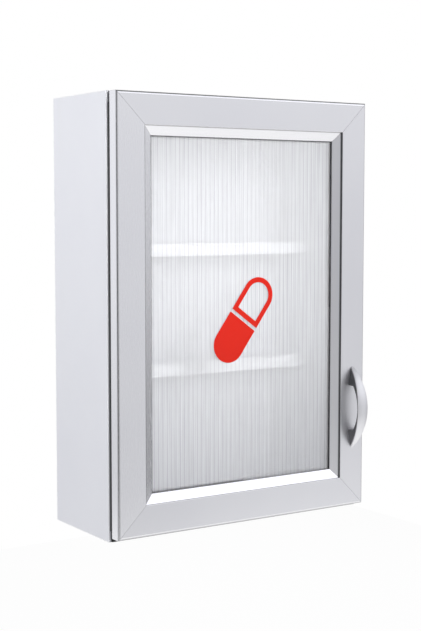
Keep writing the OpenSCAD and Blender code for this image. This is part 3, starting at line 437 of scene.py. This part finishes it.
def clear_plastic(name, see_through, milk_tone, line_tone, gloss_rough, ior=1.5):
    """Thin clear plastic with a milky share: light and shadow rays pass, as haze sends them on."""
    material, tree, surface_socket = empty_material(name)
    fine = noise(tree, object_coords(tree, (1, 1, 0.02)), STREAKS, 3.0)
    clear = plain_shader(tree, "ShaderNodeBsdfTransparent",
                         sheet_tone(tree, CLEAR_TONE, line_tone))
    milky = sheet_tone(tree, milk_tone, line_tone)
    body = mix_shaders(tree, HAZE_SHARE, plain_shader(tree, "ShaderNodeBsdfTranslucent", milky),
                       plain_shader(tree, "ShaderNodeBsdfDiffuse", milky))
    milk = 1 - see_through
    milk_share = spread(tree, fine, milk - MILK_VARIES, milk + MILK_VARIES)
    inside = mix_shaders(tree, milk_share, clear, body)
    gloss = node_of(tree, "ShaderNodeBsdfGlossy")
    gloss_range = spread(tree, fine, gloss_rough, gloss_rough + GLOSS_VARIES)
    tree.links.new(gloss_range, gloss.inputs["Roughness"])
    fresnel = node_of(tree, "ShaderNodeFresnel")
    fresnel.inputs["IOR"].default_value = ior
    seen = mix_shaders(tree, fresnel.outputs[0], inside, gloss.outputs[0])
    passing = plain_shader(tree, "ShaderNodeBsdfTransparent", PASSING_TONE)
    paths = node_of(tree, "ShaderNodeLightPath")
    by_light = calc(tree, "MAXIMUM", paths.outputs["Is Shadow Ray"],
                    paths.outputs["Is Diffuse Ray"])
    tree.links.new(mix_shaders(tree, by_light, seen, passing), surface_socket)
    return material


# ---------------------------------------------------------------- studio
scene = bpy.context.scene
scene.view_settings.view_transform = "Standard"

# the photograph's camera: its focal length and picture height in pixels, its place and aim
FOCAL_LENGTH, PICTURE_HEIGHT = 1303.81, 631
CAMERA_PLACE = (-0.8637, -1.3868, 0.1224)
CAMERA_DIP, CAMERA_TURN = math.radians(4.713), math.radians(33.216)
# the ground under the wall cabinet, and the share of plain white that the camera sees on it
FLOOR_SIZE, FLOOR_HEIGHT, FLOOR_SHOWN = 2.4, -0.62, 0.965


def photo_camera():
    """The camera that the photograph was taken with, as fitted to the door's outline."""
    optics = bpy.data.cameras.new("studio_camera")
    optics.sensor_width = 36.0
    optics.lens = FOCAL_LENGTH / PICTURE_HEIGHT * optics.sensor_width
    camera = bpy.data.objects.new("studio_camera", optics)
    scene.collection.objects.link(camera)
    camera.location = CAMERA_PLACE
    camera.rotation_euler = (math.radians(90) - CAMERA_DIP, 0, -CAMERA_TURN)
    scene.camera = camera


photo_camera()


def studio_world():
    """Soft studio: grey walls with pale and dark patches, and plain white behind the part."""
    world = bpy.data.worlds.new("studio")
    world.use_nodes = True
    tree = world.node_tree
    tree.nodes.clear()
    out = node_of(tree, "ShaderNodeOutputWorld")
    background = node_of(tree, "ShaderNodeBackground")
    tree.links.new(background.outputs[0], out.inputs["Surface"])
    where = node_of(tree, "ShaderNodeTexCoord")

    def facing(direction, low, high):
        """0 to 1 as the cosine of the angle to a direction goes from low to high."""
        dot = node_of(tree, "ShaderNodeVectorMath", operation="DOT_PRODUCT")
        tree.links.new(where.outputs["Generated"], dot.inputs[0])
        dot.inputs[1].default_value = Vector(direction).normalized()
        ranged = node_of(tree, "ShaderNodeMapRange", interpolation_type="SMOOTHSTEP")
        ranged.inputs["From Min"].default_value = low
        ranged.inputs["From Max"].default_value = high
        tree.links.new(dot.outputs["Value"], ranged.inputs["Value"])
        return ranged.outputs["Result"]

    def grey(level):
        """A faintly cool grey."""
        return (level, level * 1.006, level * 1.045, 1.0)

    def lit(around, direction, low, high, level):
        """The surroundings with a grey patch of this level over them, in one direction."""
        return blend_colours(tree, facing(direction, low, high), around, grey(level))

    down, up = (0, 0, -1), (0, 0, 1)
    # walls that darken below the horizon, less so behind on the left
    walls = lit(grey(0.70), down, -0.02, 0.26, 0.26)
    behind = lit(grey(0.86), down, -0.02, 0.30, 0.55)
    walls = blend_colours(tree, facing((-0.5, 0.866, 0), 0.3, 0.8), walls, behind)
    # a grey wall in front on the right, and a dark patch where the camera stands
    walls = lit(walls, (0.66, -0.745, 0.09), 0.85, 0.965, 0.69)
    walls = lit(walls, (-0.766, -0.643, 0), 0.80, 0.965, 0.08)
    # a dull ceiling and a pale ground
    walls = lit(walls, up, 0.52, 0.70, 0.28)
    walls = lit(walls, down, 0.38, 0.56, 0.95)
    # a bright box in front, high on the right
    walls = lit(walls, (0.60, -0.62, 0.51), 0.905, 0.965, 1.25)
    # dark screens on the right, a low one and one further back
    walls = lit(walls, (0.875, 0.235, -0.423), 0.80, 0.95, 0.21)
    around = lit(walls, (0.71, 0.71, 0), 0.72, 0.90, 0.08)
    paths = node_of(tree, "ShaderNodeLightPath")
    seen = blend_colours(tree, paths.outputs["Is Camera Ray"], around, (1.0, 1.0, 1.0, 1.0))
    tree.links.new(seen, background.inputs["Color"])
    return world


scene.world = studio_world()


def pale_floor():
    """Matt to soft light, white in mirrored views, nearly white to a camera above it, and clear
    to one below it."""
    material, tree, surface_socket = empty_material("pale_floor")
    matt = plain_shader(tree, "ShaderNodeBsdfDiffuse", (0.75, 0.75, 0.76, 1))
    shine = plain_shader(tree, "ShaderNodeEmission", (1, 1, 1, 1))
    clear = node_of(tree, "ShaderNodeBsdfTransparent").outputs[0]
    paths = node_of(tree, "ShaderNodeLightPath")
    by_camera = paths.outputs["Is Camera Ray"]
    shown = calc(tree, "MULTIPLY", by_camera, FLOOR_SHOWN)
    share = calc(tree, "MAXIMUM", shown, paths.outputs["Is Glossy Ray"])
    seen = mix_shaders(tree, share, matt, shine)
    geometry = node_of(tree, "ShaderNodeNewGeometry")
    from_below = calc(tree, "MULTIPLY", by_camera, geometry.outputs["Backfacing"])
    tree.links.new(mix_shaders(tree, from_below, seen, clear), surface_socket)
    return material


def studio_floor():
    """A level ground under the part, which isn't a piece of it."""
    deselect_all()
    bpy.ops.mesh.primitive_plane_add(size=FLOOR_SIZE, location=(0, 0, FLOOR_HEIGHT))
    floor = bpy.context.object
    floor.name = "studio_floor"
    floor.data.materials.append(pale_floor())


studio_floor()


def soft_lamp(name, place, target, size, power, spread_angle=180):
    """A square lamp turned to a target, which gives light but isn't mirrored."""
    light = bpy.data.lights.new(name, "AREA")
    light.shape = "SQUARE"
    light.size = size
    light.energy = power
    light.spread = math.radians(spread_angle)
    lamp = bpy.data.objects.new(name, light)
    scene.collection.objects.link(lamp)
    lamp.location = place
    lamp.rotation_euler = (Vector(target) - Vector(place)).to_track_quat("-Z", "Y").to_euler()
    lamp.visible_glossy = False


soft_lamp("key_lamp", (-0.06, -0.95, 0.32), (-0.01, -0.138, 0.09), 0.4, 0.67, spread_angle=50)
soft_lamp("side_lamp", (-1.10, -0.12, 0.36), (-0.175, -0.06, 0.03), 0.5, 3.8)
soft_lamp("top_lamp", (0.05, 0.10, 1.25), (0, -0.05, 0.25), 0.6, 4.5)
soft_lamp("back_lamp", (0.95, 0.75, 0.35), (0.1, 0, 0), 0.6, 4.5)

# ---------------------------------------------------------------- finishes
laminate = surface(
    "grey_laminate", srgb(242, 243, 247), srgb(238, 239, 244),
    roughness=(0.34, 0.42), grain=900, relief=(0.12, 0.03), edge=(srgb(252, 252, 253), 0.8),
    edge_place=carcass_edges)
edge_plastic = surface(
    "edge_band", srgb(242, 243, 247), srgb(239, 240, 244),
    roughness=(0.32, 0.4), grain=1100, relief=(0.08, 0.02), edge=(srgb(252, 252, 253), 0.8),
    edge_place=carcass_edges)
band_white = surface(
    "edge_band_white", srgb(250, 250, 251), srgb(248, 248, 249),
    roughness=(0.34, 0.42), grain=1100, relief=(0.08, 0.02))
# the back board and the shelves are white, painted darker as painted shade inside the cabinet; the
# shelves' front edges keep a white band
white_laminate_painted_shade = surface(
    "white_laminate_painted_shade", srgb(207, 207, 211), srgb(203, 203, 208),
    roughness=(0.4, 0.5), grain=800, relief=(0.1, 0.03))
shelf_laminate_painted_shade = surface(
    "shelf_laminate_painted_shade", srgb(204, 204, 208), srgb(200, 200, 205),
    roughness=(0.4, 0.5), grain=800, relief=(0.1, 0.03), lines_and_painted_shade=shelf_front,
    line_and_shade_colour=srgb(251, 251, 252))
# the rails take a dark line at the mitres and painted shade at the step, the nose and the outer
# edges
satin_upright = surface(
    "satin_rail_upright", srgb(252, 252, 254), srgb(248, 248, 251),
    roughness=(0.25, 0.28), grain=2600, relief=(0.03, 0.01), metallic=1.0, stretch=(1, 1, 0.02),
    lines_and_painted_shade=upright_joints_and_painted_shade)
satin_handled = surface(
    "satin_rail_handled", srgb(252, 252, 254), srgb(248, 248, 251),
    roughness=(0.42, 0.46), grain=2600, relief=(0.03, 0.01), metallic=1.0, stretch=(1, 1, 0.02),
    lines_and_painted_shade=upright_joints_and_painted_shade)
satin_across = surface(
    "satin_rail_across", srgb(252, 252, 254), srgb(248, 248, 251),
    roughness=(0.2, 0.23), grain=2600, relief=(0.03, 0.01), metallic=1.0, stretch=(0.02, 1, 1),
    lines_and_painted_shade=cross_joints_and_painted_shade)
# the handle takes painted shade on its flanks and inside its arch
satin_pull = surface(
    "satin_pull", srgb(250, 250, 252), srgb(244, 244, 247),
    roughness=(0.44, 0.52), grain=1900, relief=(0.04, 0.02), metallic=1.0, stretch=(1, 1, 0.1),
    lines_and_painted_shade=pull_flank_painted_shade)
nickel = surface(
    "satin_nickel", srgb(214, 214, 217), srgb(205, 205, 208),
    roughness=(0.3, 0.4), grain=1500, relief=(0.04, 0.02), metallic=1.0,
    edge=(srgb(235, 235, 236), 0.6))
zinc = surface(
    "zinc_plate", srgb(200, 202, 206), srgb(182, 185, 190),
    roughness=(0.28, 0.45), grain=700, relief=(0.05, 0.02), metallic=1.0,
    edge=(srgb(225, 226, 228), 0.6), blotch_scale=120)
cast_metal = surface(
    "cast_block", srgb(172, 172, 174), srgb(150, 150, 153),
    roughness=(0.45, 0.6), grain=500, relief=(0.3, 0.1), metallic=1.0)
black_steel = surface(
    "black_hinge_coat", srgb(42, 42, 45), srgb(34, 34, 37),
    roughness=(0.35, 0.5), grain=1200, relief=(0.1, 0.03), edge=(srgb(90, 90, 92), 0.5))
rubber = surface(
    "black_rubber", srgb(36, 36, 38), srgb(28, 28, 30),
    roughness=(0.55, 0.75), grain=1400, relief=(0.25, 0.05))
red_vinyl = surface(
    "red_vinyl", srgb(214, 33, 11), srgb(207, 28, 8),
    roughness=(0.36, 0.46), grain=1600, relief=(0.08, 0.02), specular=0.3)
white_plastic = surface(
    "white_moulding", srgb(232, 231, 228), srgb(226, 225, 221),
    roughness=(0.35, 0.5), grain=900, relief=(0.12, 0.04), edge=(srgb(242, 242, 240), 0.5))
ferrite = surface(
    "dark_magnet", srgb(62, 62, 64), srgb(48, 48, 50),
    roughness=(0.5, 0.7), grain=1300, relief=(0.3, 0.06))
beech = surface(
    "beech_dowel", srgb(205, 170, 120), srgb(180, 142, 95),
    roughness=(0.5, 0.7), grain=900, relief=(0.2, 0.06), stretch=(0.06, 1, 1))
skin_plastic = clear_plastic(
    "ribbed_sheet_skin", see_through=0.60, milk_tone=(0.978, 0.98, 0.985, 1),
    line_tone=(0.72, 0.725, 0.74, 1), gloss_rough=0.12)
rib_plastic = clear_plastic(
    "ribbed_sheet_rib", see_through=0.97, milk_tone=(0.97, 0.973, 0.98, 1),
    line_tone=(0.97, 0.973, 0.98, 1), gloss_rough=0.16, ior=1.08)


# ---------------------------------------------------------------- ribbed sheet
def twin_wall_skins():
    """A slab whose two skins are drawn in a little at each rib, as the real ones are."""
    columns = RIB_COUNT * CELL_STEPS
    width = RIB_COUNT * RIB_PITCH
    deselect_all()
    bpy.ops.mesh.primitive_grid_add(
        x_subdivisions=columns, y_subdivisions=1, size=1,
        location=(0, SHEET_FRONT, SHEET_MID_Z),
        rotation=(math.radians(90), 0, 0))
    piece = bpy.context.object
    piece.name = "twin_wall_sheet"
    piece.scale = (width, SHEET_HIGH - SHEET_LOW, 1)
    bpy.ops.object.transform_apply(location=True, rotation=True, scale=True)
    bpy.ops.object.mode_set(mode="EDIT")
    bpy.ops.mesh.select_all(action="SELECT")
    bpy.ops.mesh.extrude_region_move(
        TRANSFORM_OT_translate={"value": (0, SHEET_BACK - SHEET_FRONT, 0)})
    bpy.ops.mesh.select_all(action="SELECT")
    bpy.ops.mesh.normals_make_consistent(inside=False)
    for front, inwards in ((True, 1), (False, -1)):
        for step, depth in SKIN_DIPS:
            bpy.ops.mesh.select_all(action="DESELECT")
            bpy.ops.object.mode_set(mode="OBJECT")
            for v in piece.data.vertices:
                column = round((v.co.x + width / 2) / width * columns)
                near_front = abs(v.co.y - SHEET_FRONT) < abs(v.co.y - SHEET_BACK)
                v.select = column % CELL_STEPS == step and near_front == front
            bpy.ops.object.mode_set(mode="EDIT")
            bpy.ops.transform.translate(value=(0, inwards * depth, 0))
    bpy.ops.object.mode_set(mode="OBJECT")
    bpy.ops.object.shade_smooth_by_angle(angle=RIPPLE_ANGLE)
    put_on(piece, "door", "polycarbonate", skin_plastic, "ribbed_sheet")


def sheet_ribs():
    """The walls between the cells: one is modelled and the rest are its copies."""
    depth = SHEET_BACK - SHEET_FRONT - 2 * SKIN_THICK
    length = SHEET_HIGH - SHEET_LOW - 2 * RIB_END_GAP
    first_x = -(RIB_COUNT - 2) / 2 * RIB_PITCH
    deselect_all()
    bpy.ops.mesh.primitive_cube_add(
        size=1, location=(first_x, (SHEET_FRONT + SHEET_BACK) / 2, SHEET_MID_Z))
    piece = bpy.context.object
    piece.name = "sheet_ribs"
    piece.scale = (RIB_THICK, depth, length)
    bpy.ops.object.transform_apply(location=True, rotation=True, scale=True)
    row = piece.modifiers.new("row", "ARRAY")
    row.count = RIB_COUNT - 1
    row.use_relative_offset = False
    row.use_constant_offset = True
    row.constant_offset_displace = (RIB_PITCH, 0, 0)
    bpy.ops.object.modifier_apply(modifier=row.name)
    put_on(piece, "door", "polycarbonate", rib_plastic)


twin_wall_skins()
sheet_ribs()

# ---------------------------------------------------------------- finishes on the CAD nodes
# node, body, slot, finish, and the width in mm that its edges are softened by
DRESSED = (
    ("left_side_board", "carcass", "laminated_board", laminate, 0.1),
    ("right_side_board", "carcass", "laminated_board", laminate, 0.1),
    ("top_board", "carcass", "laminated_board", laminate, 0.1),
    ("bottom_board", "carcass", "laminated_board", laminate, 0.1),
    ("side_edge_bands", "carcass", "edge_band", edge_plastic, 0.12),
    ("end_edge_bands", "carcass", "edge_band", edge_plastic, 0.12),
    ("cross_edge_bands", "carcass", "edge_band", band_white, 0.12),
    ("back_board", "carcass", "white_board", white_laminate_painted_shade, 0.2),
    ("lower_shelf", "carcass", "white_board", shelf_laminate_painted_shade, 0.1),
    ("upper_shelf", "carcass", "white_board", shelf_laminate_painted_shade, 0.1),
    ("hinge_stile", "door", "rail_metal", satin_upright, 0.15),
    ("handle_stile", "door", "rail_metal", satin_handled, 0.15),
    ("top_rail", "door", "rail_metal", satin_across, 0.15),
    ("bottom_rail", "door", "rail_metal", satin_across, 0.15),
    ("pull_handle", "door", "satin_nickel", satin_pull, 0.7),
    ("lock_keeper", "door", "zinc_steel", zinc, 0.3),
    ("strike_plate", "door", "zinc_steel", zinc, 0.2),
    ("catch_housing", "carcass", "white_plastic", white_plastic, 0.5),
    ("lock_barrel", "carcass", "satin_nickel", nickel, 0.4),
    ("lock_plug", "lock_core", "satin_nickel", nickel, 0.2),
    ("locking_tongue", "lock_core", "zinc_steel", zinc, 0.3),
    ("lock_nut", "carcass", "zinc_steel", zinc, 0.3),
    ("panel_mark", "door", "red_film", red_vinyl, 0.08),
)
for node, body, slot, material, width in DRESSED:
    piece = copy_of_node(node, node + "_piece")
    soften_edges(piece, width * MM, 3 if width > WIDE_ROUND else 2)
    put_on(piece, body, slot, material, node)

# the nodes that keep the CAD mesh, with the finish of each
PLAIN = {
    "shelf_pins": zinc, "dowels": beech, "connector_bolts": zinc, "eccentrics": zinc,
    "back_screws": zinc, "top_seal": rubber, "bottom_seal": rubber, "lock_side_seal": rubber,
    "hinge_carcass_leaf": black_steel, "hinge_pin": black_steel,
    "hinge_carcass_screws": black_steel, "catch_magnet": ferrite, "catch_screws": zinc,
    "tongue_screw": zinc, "corner_blocks": cast_metal, "sheet_gasket": rubber,
    "handle_screws": zinc, "hinge_door_leaf": black_steel, "hinge_door_screws": black_steel,
    "strike_screw": zinc, "keeper_screws": zinc,
}
for node, material in PLAIN.items():
    cad_nodes[node].data.materials.clear()
    cad_nodes[node].data.materials.append(material)

# ---------------------------------------------------------------- hand-over
bpy.context.view_layer.update()
